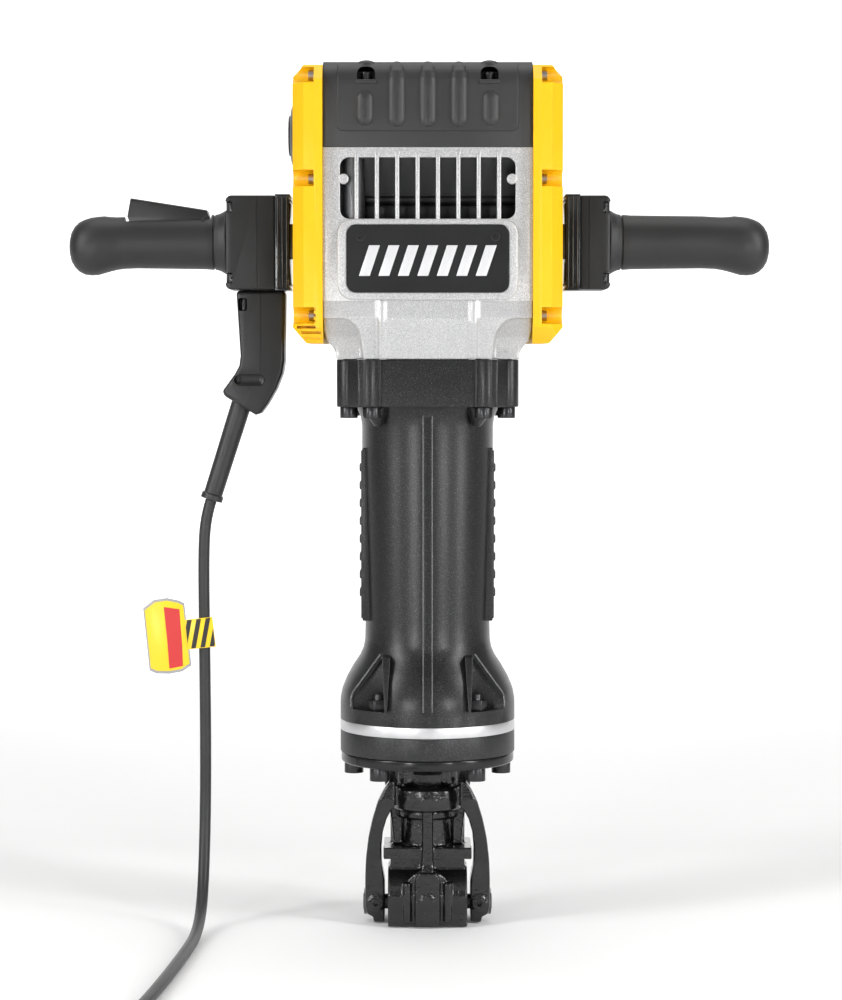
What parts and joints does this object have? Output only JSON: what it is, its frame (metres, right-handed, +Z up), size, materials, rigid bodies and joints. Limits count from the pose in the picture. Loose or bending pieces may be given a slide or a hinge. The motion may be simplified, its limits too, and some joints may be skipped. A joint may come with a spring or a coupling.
{
  "type": "demolition hammer",
  "caption": "Upright electric breaker hammer with two sprung side handles, trigger lever, finned motor casing, flanged barrel, hinged tool latch and a mains cord with a coil.",
  "frame": {"origin": "centre of the nose's lower face, on the tool axis", "axes": "+Z up along the tool axis, +X towards the plain right handle, -Y towards the front with the badge"},
  "size_m": [0.641, 0.7515, 0.785],
  "materials": {
    "yellow_cover": "satin moulded plastic",
    "grey_cover": "fine grained plastic",
    "silver_casting": "metallic paint with a fine sparkle",
    "badge_black": "gloss",
    "dark_steel": "blackened",
    "black_powder": "dark powder coat",
    "bright_steel": "machined",
    "black_cast": "rough cast with gloss black paint",
    "core_steel": "laminated",
    "copper": "turned",
    "black_plastic": "fine grained plastic",
    "light_alloy": "as cast",
    "grip_rubber": "soft matt",
    "cord_rubber": "smooth matt",
    "tie_plastic": "satin",
    "tag_card": "printed card",
    "spring_steel": "wound wire"
  },
  "bodies": {
    "root": {"badge_plate": "badge_black", "badge_screws": "dark_steel", "barrel_housing": "black_powder", "bearing_bridge": "light_alloy", "carbon_brushes": "black_plastic", "clamp_ring": "bright_steel", "collar_bolts": "dark_steel", "cord_coil": "cord_rubber", "cord_lead": "cord_rubber", "cord_plug": "cord_rubber", "cord_tag": "tag_card", "cord_tie": "tie_plastic", "cylinder_sleeve": "bright_steel", "flange_nuts": "dark_steel", "guide_bush": "light_alloy", "guide_rods": "bright_steel", "latch_pivots": "dark_steel", "lower_ring": "black_powder", "main_housing": "silver_casting", "motor_end_cap": "black_plastic", "motor_stator": "core_steel", "nose_bolts": "dark_steel", "nose_casting": "black_cast", "shaft_bearings": "bright_steel", "side_cover_left": "yellow_cover", "side_cover_right": "yellow_cover", "side_cover_screws": "dark_steel", "spring_left_lower": "spring_steel", "spring_left_upper": "spring_steel", "spring_right_lower": "spring_steel", "spring_right_upper": "spring_steel", "tool_sleeve": "bright_steel", "top_cover": "grey_cover", "top_cover_bolts": "dark_steel"},
    "armature": {"motor_shaft": "bright_steel", "armature_core": "core_steel", "commutator": "copper", "cooling_fan": "black_plastic"},
    "layshaft": {"layshaft_gear": "bright_steel"},
    "crank": {"crankshaft": "bright_steel", "crank_gear": "bright_steel"},
    "rod": {"connecting_rod": "bright_steel", "wrist_pin": "bright_steel"},
    "piston": {"piston": "bright_steel"},
    "ram": {"ram": "bright_steel"},
    "beat_piece": {"beat_piece": "bright_steel"},
    "left_handle": {"handle_bracket_left": "black_cast", "handle_block_left": "black_plastic", "cord_duct": "black_plastic", "grip_left": "grip_rubber", "block_screws_left": "dark_steel", "micro_switch": "black_plastic", "lever_pin": "bright_steel", "cord_guard": "cord_rubber"},
    "right_handle": {"handle_bracket_right": "black_cast", "handle_block_right": "black_plastic", "grip_right": "grip_rubber", "block_screws_right": "dark_steel"},
    "trigger": {"trigger_lever": "black_plastic"},
    "latch": {"latch_yoke": "black_cast"}
  },
  "joints": [
    {"name": "crank_spin", "type": "hinge", "parent": "root", "child": "crank", "pos_m": [0, 0, 0.6336], "axis": [1, 0, 0], "continuous": true},
    {"name": "layshaft_spin", "type": "hinge", "parent": "root", "child": "layshaft", "pos_m": [0, 0, 0.6906], "axis": [1, 0, 0], "continuous": true},
    {"name": "armature_spin", "type": "hinge", "parent": "root", "child": "armature", "pos_m": [0, 0, 0.725], "axis": [1, 0, 0], "continuous": true},
    {"name": "rod_swing", "type": "hinge", "parent": "crank", "child": "rod", "pos_m": [0, 0, 0.6496], "axis": [1, 0, 0], "continuous": true},
    {"name": "piston_slide", "type": "slide", "parent": "root", "child": "piston", "axis": [0, 0, 1], "range_m": [-0.032, 0]},
    {"name": "ram_slide", "type": "slide", "parent": "root", "child": "ram", "axis": [0, 0, 1], "range_m": [0, 0.06]},
    {"name": "beat_piece_slide", "type": "slide", "parent": "root", "child": "beat_piece", "axis": [0, 0, 1], "range_m": [0, 0.008]},
    {"name": "left_handle_float", "type": "slide", "parent": "root", "child": "left_handle", "axis": [0, 0, 1], "range_m": [-0.006, 0.006], "stiffness_N_per_m": 16000, "deforming": ["spring_left_lower", "spring_left_upper", "cord_lead"]},
    {"name": "right_handle_float", "type": "slide", "parent": "root", "child": "right_handle", "axis": [0, 0, 1], "range_m": [-0.006, 0.006], "stiffness_N_per_m": 16000, "deforming": ["spring_right_lower", "spring_right_upper"]},
    {"name": "trigger_press", "type": "hinge", "parent": "left_handle", "child": "trigger", "pos_m": [-0.205, 0, 0.648], "axis": [0, -1, 0], "range_deg": [0, 8], "stiffness_Nm_per_rad": 1.2, "springref_deg": -8.59},
    {"name": "latch_turn", "type": "hinge", "parent": "root", "child": "latch", "pos_m": [0, 0, 0.0185], "axis": [1, 0, 0], "range_deg": [0, 75]}
  ],
  "couplings": [
    {"joint": "layshaft_spin", "follows": "crank_spin", "ratio": -4.1818},
    {"joint": "armature_spin", "follows": "crank_spin", "ratio": 18.818},
    {"joint": "rod_swing", "follows": "crank_spin", "ratio": -1}
  ]
}
